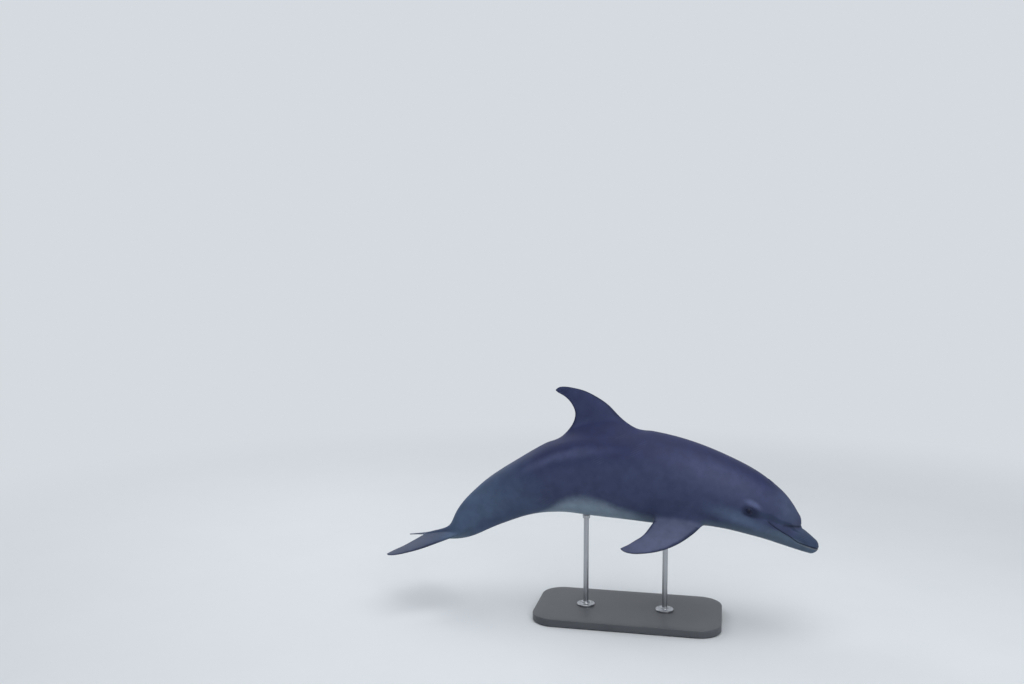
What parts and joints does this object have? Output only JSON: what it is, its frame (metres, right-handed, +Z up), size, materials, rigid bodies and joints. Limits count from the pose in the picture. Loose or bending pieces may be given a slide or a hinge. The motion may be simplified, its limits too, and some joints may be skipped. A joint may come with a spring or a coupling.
{
  "type": "bottlenose dolphin",
  "caption": "Young bottlenose dolphin, life size, as a still museum-type model with an arched back, carried by two plain rods on a flat display base.",
  "frame": {"origin": "middle of the underside of the stand's base, on the surface that it stands on", "axes": "+X towards the beak, +Y towards the dolphin's left side, +Z up"},
  "size_m": [1.2854, 0.4018, 0.698],
  "materials": {
    "skin": "satin",
    "pale_skin": "satin",
    "fin_skin": "satin",
    "eye": "gloss",
    "stand_board": "matt lacquer",
    "stand_steel": "brushed"
  },
  "bodies": {
    "root": {"head": "skin", "upper_jaw": "skin", "lower_jaw": "pale_skin", "chest": "skin", "abdomen": "skin", "tail_stock": "skin", "dorsal_fin": "fin_skin", "eye_left": "eye", "eye_right": "eye", "flipper_left": "fin_skin", "flipper_right": "fin_skin", "fluke_left": "fin_skin", "fluke_right": "fin_skin", "stand_base": "stand_board", "stand_rod_front": "stand_steel", "stand_rod_back": "stand_steel", "stand_flange_front": "stand_steel", "stand_flange_back": "stand_steel"}
  },
  "joints": []
}
